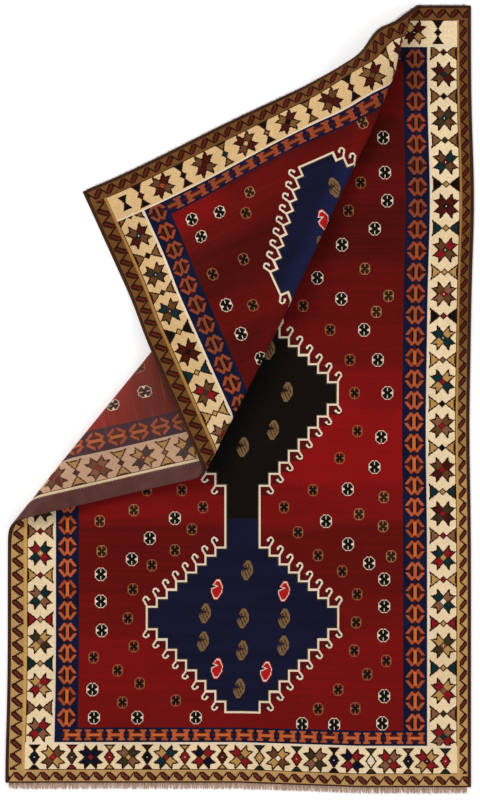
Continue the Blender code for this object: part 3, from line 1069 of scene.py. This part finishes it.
def fieldLook(name, back):
    graph = Graph(name)
    x, y = graph.flatPlace("Flat")
    colour = scattered(graph, abrashAndSheen(graph, x, y))
    return woolFinish(graph, colour, back)


def byMedallion(graph, y, values):
    # The value that belongs to the medallion nearest in y
    low, middle, high = values
    first, second, third = medallions["centres"]
    aboveLow = y > (first + second) / 2.0
    aboveMiddle = y > (second + third) / 2.0
    return aboveLow * (middle - low) + aboveMiddle * (high - middle) + low


def steppedPlace(graph, y):
    # Distance from the medallion's middle line, whether below it, and the height of its steps there
    centre = byMedallion(graph, y, medallions["centres"])
    plateau = byMedallion(graph, y, medallions["plateau"])
    above = byMedallion(graph, y, medallions["above"])
    below = byMedallion(graph, y, medallions["below"])
    rise = y - centre
    height = above + (rise < 0.0) * (below - above)
    return abs(rise) - plateau, height


# A hook's shape, in units of its own: across it in photograph pixels, along it in parts of its height
hook = {
    "pixel": 0.00334,
    "step": 0.0326,
    "start": (11.2, 1.6),
    "lean": (0.600, 0.800),
    "thick": 0.85,
    "unit": 0.00423,
    "shorterBelow": 0.00060,
    "curlCentre": (12.3, 6.3),
    "curlRadius": 2.45,
    "barb": (9.6, 6.9),
    "barbReach": 1.5,
    "stemEnds": (1.0, 6.4),
    "curlFrom": 6.1,
    "eye": 1.5,
    "groundReach": 14.6,
    "lastGap": 0.012,
}


def hooks(graph, ax, y, over, height, half, step):
    # A latch hook on each outer corner of the steps, with a dark red ground between it and the riser.
    # It reaches past its own step, so the hook of the step before shows as well.
    level = (over / height + 1.0).floor()
    low, high = medallions["tips"]
    startX, startY = hook["start"]
    leanX, leanY = hook["lean"]
    stemFrom, stemTo = hook["stemEnds"]
    unit = hook["unit"] - (height > 0.0325) * hook["shorterBelow"]
    found = []
    for before in (0.0, 1.0):
        own = level - before
        riser = half - own * step
        past = over - (own - 1.0) * height
        u = (ax - riser - step + hook["step"]) / hook["pixel"]
        w = past / unit
        away = (u - startX) * leanY - (w - startY) * leanX
        stem = (abs(away) < hook["thick"]) * (w > stemFrom) * (w < stemTo) * (u > startX - 1.2)
        cx = u - hook["curlCentre"][0]
        cy = w - hook["curlCentre"][1]
        distance = (cx * cx + cy * cy).root()
        curl = (abs(distance - hook["curlRadius"]) < hook["thick"] * 0.85) * (w > hook["curlFrom"])
        barb = abs(u - hook["barb"][0]) + abs(w - hook["barb"][1]) < hook["barbReach"]

        # None on the neck, nor on a step that a medallion's tip cuts off
        live = (own > 0.5) * (riser > medallions["neck"] - 0.002)
        live = live * (y + past > low + hook["lastGap"]) * (y - past < high - hook["lastGap"])
        ground = (u > 0.0) * (away < 0.0) * (u < hook["groundReach"]) * live
        found.append((stem.most(curl).most(barb) * live, ground, (distance < hook["eye"]) * live))
    (line, ground, eye), (lineBefore, _, eyeBefore) = found
    return line.most(lineBefore), ground, eye.most(eyeBefore)


def medallionLook(name, back):
    graph = Graph(name)
    x, y = graph.flatPlace("Flat")
    colour = scattered(graph, abrashAndSheen(graph, x, y))
    size = cloth["knot"] * 0.8
    sx = ((x / size).floor() + 0.5) * size
    sy = ((y / size).floor() + 0.5) * size
    ax = abs(sx - byMedallion(graph, sy, medallions["middle"]))
    half = byMedallion(graph, sy, medallions["half"])
    step = byMedallion(graph, sy, medallions["step"])
    low, high = medallions["tips"]
    over, height = steppedPlace(graph, sy)

    def inside(grow):
        steps = ((over - grow).most(-0.001) / height + 1.0).floor()
        wide = half + grow - steps * step
        reach = wide.most(medallions["neck"] + grow) - ax
        ends = (sy > low - grow) * (sy < high + grow)
        return (reach > 0.0) * ends

    line, ground, eye = hooks(graph, ax, sy, over, height, half, step)
    colour = graph.mix(ground * (sy > low) * (sy < high), colour, dyes["wine"])
    colour = graph.mix(eye, colour, dyes["outline"])
    colour = graph.mix(line, colour, dyes["cream"])
    blackZone = (sy > -0.395) * (sy < 0.365)
    navyNoise = graph.noise(graph.vector(x * 0.5, y * 8.0), 3.0, 2.0)
    navy = graph.mix(navyNoise, dyes["nightDark"], dyes["night"])
    # Painted sheen: the navy is brightened towards the upper fold's crest
    navy = graph.mix(foldSheen(x, y) * 0.8, navy, dyes["nightSheen"])
    body = graph.mix(blackZone, navy, dyes["black"])
    colour = graph.mix(inside(0.0080), colour, dyes["cream"])
    colour = graph.mix(inside(0.0016), colour, dyes["olive"])
    colour = graph.mix(inside(-0.0022), colour, body)
    colour = botehs(graph, colour)
    return woolFinish(graph, colour, back)


bound = {
    "dark": (36, 19, 13),
    "pale": (78, 44, 28),
    "twist": 420.0,
}
leather = {
    "dark": (62, 27, 23),
    "pale": (100, 51, 43),
    "grain": 900.0,
    "smoothest": 0.34,
}


def edgeLook(name):
    # Overcast wool, with the slant of its windings
    graph = Graph(name)
    x, y = graph.flatPlace("Flat")
    twist = ((x + y) * bound["twist"]).sine()
    tone = graph.noise(graph.vector(x, y), 18.0, 3.0)
    colour = graph.mix(tone, dye(*bound["dark"]), dye(*bound["pale"]))
    return graph.finish(colour, 0.85, graph.relief(twist, 0.6, 0.0008), {"Specular IOR Level": 0.1})


def tapeLook():
    graph = Graph("tapeLeather")
    place = graph.vector(*graph.flatPlace("Flat"))
    tone = graph.noise(place, 26.0, 3.0)
    relief = graph.relief(graph.noise(place, leather["grain"], 3.0, 0.6), 0.4, 0.0006)
    colour = graph.mix(tone, dye(*leather["dark"]), dye(*leather["pale"]))
    return graph.finish(colour, tone * 0.2 + leather["smoothest"], relief, {"Specular IOR Level": 0.25})


def threadLook(name, dark, pale, pitch):
    # Plied thread, darker and paler from strand to strand
    graph = Graph(name)
    x, y = graph.flatPlace("Flat")
    strand = graph.scatter(graph.vector((x / pitch).floor(), 2.0))
    tone = graph.noise(graph.vector(x, y), 34.0, 2.0)
    colour = graph.mix((strand * 0.6 + tone * 0.5).clipped(), dark, pale)
    return graph.finish(colour, 0.9, extra={"Specular IOR Level": 0.1})


def looksFor(back):
    tag = "Back" if back else "Pile"
    return {
        "field": fieldLook("field" + tag, back),
        "medallion": medallionLook("medallion" + tag, back),
        "blue": blueLook("blue" + tag, back),
        "ivory": ivoryLook("ivory" + tag, back),
        "guard": guardLook("guard" + tag, back),
        "edge": edgeLook("edge" + tag),
    }


print("cloth")
sheet = flatSheet()
print("flat sheet", len(sheet.faces), "faces")
half = rug["thickness"] / 2.0
innerLeft = rug["left"] + bands["left"][0]
innerRight = rug["right"] - bands["right"][0]


pile = clothPiece("rug_pile", sheet, half, looksFor(False))
back = clothPiece("rug_back", sheet, -half, looksFor(True), True)
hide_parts("rug_field")


def sectionPoints(width, height, radius, across):
    # Points round a rectangle with round corners, with some more along its two wide sides
    corner = 3
    insideX = width / 2.0 - radius
    insideY = height / 2.0 - radius
    points = []
    for sideX, sideY, start in ((1, -1, -90.0), (1, 1, 0.0), (-1, 1, 90.0), (-1, -1, 180.0)):
        for k in range(corner + 1):
            angle = math.radians(start + 90.0 * k / corner)
            points.append((sideX * insideX + radius * math.cos(angle),
                           sideY * insideY + radius * math.sin(angle)))
        if sideX == sideY:
            for k in range(1, across):
                points.append((sideX * insideX * (1.0 - 2.0 * k / across), sideY * height / 2.0))
    return points


def sharedGrid(columns, rows):
    # A bare grid, and the place of each of its points as two shares from 0 to 1
    bm = bmesh.new()
    bmesh.ops.create_grid(bm, x_segments=columns, y_segments=rows, size=0.5)
    bm.verts.ensure_lookup_table()
    return bm, np.array([(vert.co.x + 0.5, vert.co.y + 0.5) for vert in bm.verts])


def layGrid(bm, shares, places, flats):
    # Puts the grid in its places, with the maps that its material and the bake use
    flatMap = bm.loops.layers.uv.new("Flat")
    bakeMap = bm.loops.layers.uv.new("OFBake")
    for face in bm.faces:
        for loop in face.loops:
            number = loop.vert.index
            loop[flatMap].uv = flats[number]
            loop[bakeMap].uv = inBake(shares[number])
    for vert, place in zip(bm.verts, places):
        vert.co = place


def alongSide(name, middle, section, lift, twist, look):
    # A strip of that section that runs the whole length of a side and folds with the cloth
    columns = len(section)
    bm, shares = sharedGrid(columns, int(rug["length"] / edges["step"]))
    place = np.rint(shares[:, 0] * columns).astype(int)
    points = np.array(section + section[:1])
    y = rug["bottom"] + shares[:, 1] * rug["length"]
    ply = np.sin(y * edges["pliesPerMetre"] + place * 2.0 * math.pi / columns)
    swell = 1.0 + twist * ply * np.sin(y * 37.0 + 1.0)
    places = placed(middle + points[place, 0], y, lift + points[place, 1] * swell)
    girth = sum(math.dist(points[k], points[k + 1]) for k in range(columns))
    layGrid(bm, shares, places, np.stack([shares[:, 0] * girth, y], axis=1))
    bmesh.ops.remove_doubles(bm, verts=bm.verts, dist=0.00001)
    bmesh.ops.holes_fill(bm, edges=[edge for edge in bm.edges if edge.is_boundary], sides=0)
    bmesh.ops.recalc_face_normals(bm, faces=bm.faces)
    return finishPiece(name, bm, [look])


edges = {
    "selvedgeRadius": 0.0042,
    "selvedgeTwist": 0.05,
    "tapeThickness": 0.0015,
    "gap": 0.0003,
    "step": 0.004,
    "pliesPerMetre": 1500.0,
    "rimRows": 6,
    "rimSwell": 0.0012,
}

print("edges")
overcast = edgeLook("overcastWool")
wide = bands["left"][0]
edgeSection = sectionPoints(wide, rug["thickness"], edges["selvedgeRadius"], 2)
for side, middle in (("left", rug["left"] + wide / 2.0), ("right", rug["right"] - wide / 2.0)):
    name = "selvedge_wool_" + side
    piece = alongSide(name, middle, edgeSection, 0.0, edges["selvedgeTwist"], overcast)
    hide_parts("selvedge_" + side)

thick = edges["tapeThickness"]
tapeSection = sectionPoints(rug["tapeWidth"], thick, thick * 0.45, 10)
tapeMiddle = rug["left"] + rug["tapeWidth"] / 2.0
tapeLift = -half - edges["gap"] - thick / 2.0
tape = alongSide("tape_leather_strip", tapeMiddle, tapeSection, tapeLift, 0.0, tapeLook())
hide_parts("edge_tape")


def rimPiece(name, end, outward):
    # The bound end of the cloth, between the pile's edge and the back's
    wide = innerRight - innerLeft
    bm, shares = sharedGrid(int(wide / edges["step"]), edges["rimRows"])
    x = innerLeft + shares[:, 0] * wide
    lift = (shares[:, 1] - 0.5) * rug["thickness"]
    swell = edges["rimSwell"] * np.sin(shares[:, 1] * math.pi)
    places = placed(x, np.full_like(x, end) + outward * swell, lift)
    layGrid(bm, shares, places, np.stack([x, shares[:, 1] * rug["thickness"]], axis=1))
    if outward > 0.0:
        bmesh.ops.reverse_faces(bm, faces=bm.faces)
    return finishPiece(name, bm, [overcast])


rims = [rimPiece("end_top", rug["top"], 1.0), rimPiece("end_bottom", rug["bottom"], -1.0)]


def threads(name, strands, radius, look):
    # Round threads, each through its own points, as one mesh
    curve = bpy.data.curves.new(name, "CURVE")
    curve.dimensions = "3D"
    curve.bevel_depth = radius
    curve.bevel_resolution = 0
    curve.use_fill_caps = True
    for points in strands:
        spline = curve.splines.new("POLY")
        spline.points.add(len(points) - 1)
        for number, (point, target) in enumerate(zip(points, spline.points)):
            target.co = (*point, 1.0)
            target.radius = 1.0 - 0.45 * number / (len(points) - 1)
    temporary = bpy.data.objects.new(name + "_curve", curve)
    bpy.context.scene.collection.objects.link(temporary)
    bpy.context.view_layer.update()
    evaluated = temporary.evaluated_get(bpy.context.evaluated_depsgraph_get())
    mesh = bpy.data.meshes.new_from_object(evaluated)
    bpy.data.objects.remove(temporary, do_unlink=True)
    bm = bmesh.new()
    bm.from_mesh(mesh)
    bpy.data.meshes.remove(mesh)
    low = np.array([min(vert.co[k] for vert in bm.verts) for k in range(2)])
    high = np.array([max(vert.co[k] for vert in bm.verts) for k in range(2)])
    for layer in list(bm.loops.layers.uv.values()):
        bm.loops.layers.uv.remove(layer)
    flatMap = bm.loops.layers.uv.new("Flat")
    bakeMap = bm.loops.layers.uv.new("OFBake")
    for face in bm.faces:
        for loop in face.loops:
            spot = np.array(loop.vert.co[:2])
            loop[flatMap].uv = spot
            loop[bakeMap].uv = inBake((spot - low) / (high - low))
    return finishPiece(name, bm, [look])


stitch = {
    "pitch": 0.0105,
    "radius": 0.0005,
    "reach": 0.0040,
}


def tapeStitches():
    # Overcast stitches that hold the tape's inner edge to the back of the rug
    ys = np.arange(rug["bottom"] + 0.01, rug["top"] - 0.01, stitch["pitch"])
    edge = rug["left"] + rug["tapeWidth"]
    under = -half - edges["gap"] - thick
    rows = []
    for offset, lean, lift in ((-1.0, -0.0012, under), (-0.3, -0.0004, under - 0.0003),
                               (0.25, 0.0004, -half - 0.0008), (0.9, 0.0012, -half)):
        xs = np.full_like(ys, edge + offset * stitch["reach"])
        rows.append(placed(xs, ys + lean, np.full_like(ys, lift)))
    look = threadLook("stitchThread", dye(150, 120, 98), dye(206, 184, 158), 0.01)
    return threads("tape_stitches", list(zip(*rows)), stitch["radius"], look)


stitches = tapeStitches()

fringe = {
    "strands": 2500,
    "clump": 0.0090,
    "shortest": 0.014,
    "longest": 0.0265,
    "sway": 0.0018,
    "radius": 0.0007,
    "rootHeight": 0.0045,
}


def fringePiece():
    # Fine wool ends, gathered in loose locks and lying on the floor
    random = np.random.default_rng(5)
    count = fringe["strands"]
    xs = np.linspace(innerLeft + 0.001, innerRight - 0.001, count)
    xs = xs + random.normal(0.0, 0.0005, count)
    rootX, rootY = asWoven(xs, np.full(count, rug["bottom"]))
    lock = np.floor(xs / fringe["clump"])
    lockMiddle = (lock + 0.5) * fringe["clump"]
    lockLength = 0.5 + 0.5 * np.sin(lock * 2.1) * np.sin(lock * 0.37 + 1.0)
    lengths = fringe["shortest"] + (fringe["longest"] - fringe["shortest"]) * np.clip(
        lockLength * 0.25 + random.uniform(0.2, 0.75, count), 0.0, 1.0)
    lean = (lockMiddle - xs) * 0.14 + fringe["sway"] * np.sin(lock * 1.7)
    lean = lean + random.normal(0.0, 0.0009, count)
    strands = []
    shares = np.linspace(0.0, 1.0, 5)
    for k in range(count):
        wiggle = random.normal(0.0, 0.0003, 5) * shares
        px = rootX[k] + rug["boxShift"][0] + lean[k] * shares ** 1.4 + wiggle
        py = rootY[k] + rug["boxShift"][1] - lengths[k] * shares
        drop = np.clip(shares * 1.6, 0.0, 1.0)
        start = fringe["rootHeight"] * random.uniform(0.5, 1.4)
        pz = start * (1.0 - drop) ** 1.5 + fringe["radius"] * (1.2 + 1.2 * random.uniform())
        strands.append(list(zip(px, py, pz)))
    look = threadLook("fringeWool", dye(146, 108, 86), dye(236, 206, 184), 0.0013)
    return threads("fringe_threads", strands, fringe["radius"], look)


nap = {
    "strands": 1300,
    "shortest": 0.003,
    "longest": 0.0075,
    "radius": 0.0004,
    "start": 0.0015,
}


def napPiece():
    # What is left of the upper end's fringe: short worn hairs along the edge
    random = np.random.default_rng(11)
    count = nap["strands"]
    xs = np.linspace(innerLeft + 0.001, innerRight - 0.001, count)
    xs = xs + random.normal(0.0, 0.0006, count)
    lengths = random.uniform(nap["shortest"], nap["longest"], count)
    lean = random.normal(0.0, 0.0012, count)
    lifts = random.uniform(-0.3, 0.3, count) * rug["thickness"]
    rows = []
    for share in (0.0, 0.5, 1.0):
        ys = rug["top"] - nap["start"] + (lengths + nap["start"]) * share
        rows.append(placed(xs + lean * share, ys, lifts * (1.0 - 0.4 * share)))
    look = threadLook("napWool", dye(64, 42, 30), dye(140, 112, 92), 0.0011)
    return threads("top_nap", list(zip(*rows)), nap["radius"], look)


print("fringe")
napMade = napPiece()
fringeMade = fringePiece()
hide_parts("fringe_lower")

stageSettings = {
    "floorSize": 30.0,
    "floorColour": (0.96, 0.96, 0.96, 1.0),
    "floorGlow": 0.22,
    "world": 0.66,
}


def makeStage():
    bm = bmesh.new()
    bmesh.ops.create_grid(bm, x_segments=1, y_segments=1, size=stageSettings["floorSize"] / 2.0)
    mesh = bpy.data.meshes.new("floor")
    bm.to_mesh(mesh)
    bm.free()
    floor = bpy.data.objects.new("floor", mesh)
    floor.location.z = -0.0004
    bpy.context.scene.collection.objects.link(floor)
    graph = Graph("floorPaint")
    glow = {"Emission Color": (1.0, 1.0, 1.0, 1.0), "Emission Strength": stageSettings["floorGlow"]}
    mesh.materials.append(graph.finish(stageSettings["floorColour"], 0.9, extra=glow))
    world = bpy.data.worlds.new("softbox")
    world.use_nodes = True
    world.node_tree.nodes["Background"].inputs["Color"].default_value = (1.0, 1.0, 1.0, 1.0)
    world.node_tree.nodes["Background"].inputs["Strength"].default_value = stageSettings["world"]
    bpy.context.scene.world = world


camera = {
    "height": 5.39,
    "across": 1.603,
    "along": 2.672,
}


def makeCamera():
    data = bpy.data.cameras.new("camera")
    data.sensor_fit = "VERTICAL"
    data.sensor_height = 24.0
    data.lens = data.sensor_height * camera["height"] / camera["along"]
    made = bpy.data.objects.new("camera", data)
    made.location = (rug["boxShift"][0], rug["boxShift"][1], camera["height"])
    bpy.context.scene.collection.objects.link(made)
    bpy.context.scene.camera = made


lamps = {
    "key": {"place": (-2.4, 2.6, 3.6), "size": 2.4, "power": 84.0},
    "fill": {"place": (2.8, -1.6, 3.4), "size": 3.0, "power": 24.0},
}


def makeLamps():
    for name, facts in lamps.items():
        data = bpy.data.lights.new(name, "AREA")
        data.shape = "DISK"
        data.size = facts["size"]
        data.energy = facts["power"]
        made = bpy.data.objects.new(name, data)
        made.location = facts["place"]
        aim = -made.location.normalized()
        made.rotation_mode = "QUATERNION"
        made.rotation_quaternion = aim.to_track_quat("-Z", "Y")
        bpy.context.scene.collection.objects.link(made)


print("stage")
makeStage()
makeCamera()
makeLamps()
bpy.context.scene.view_settings.view_transform = "Standard"
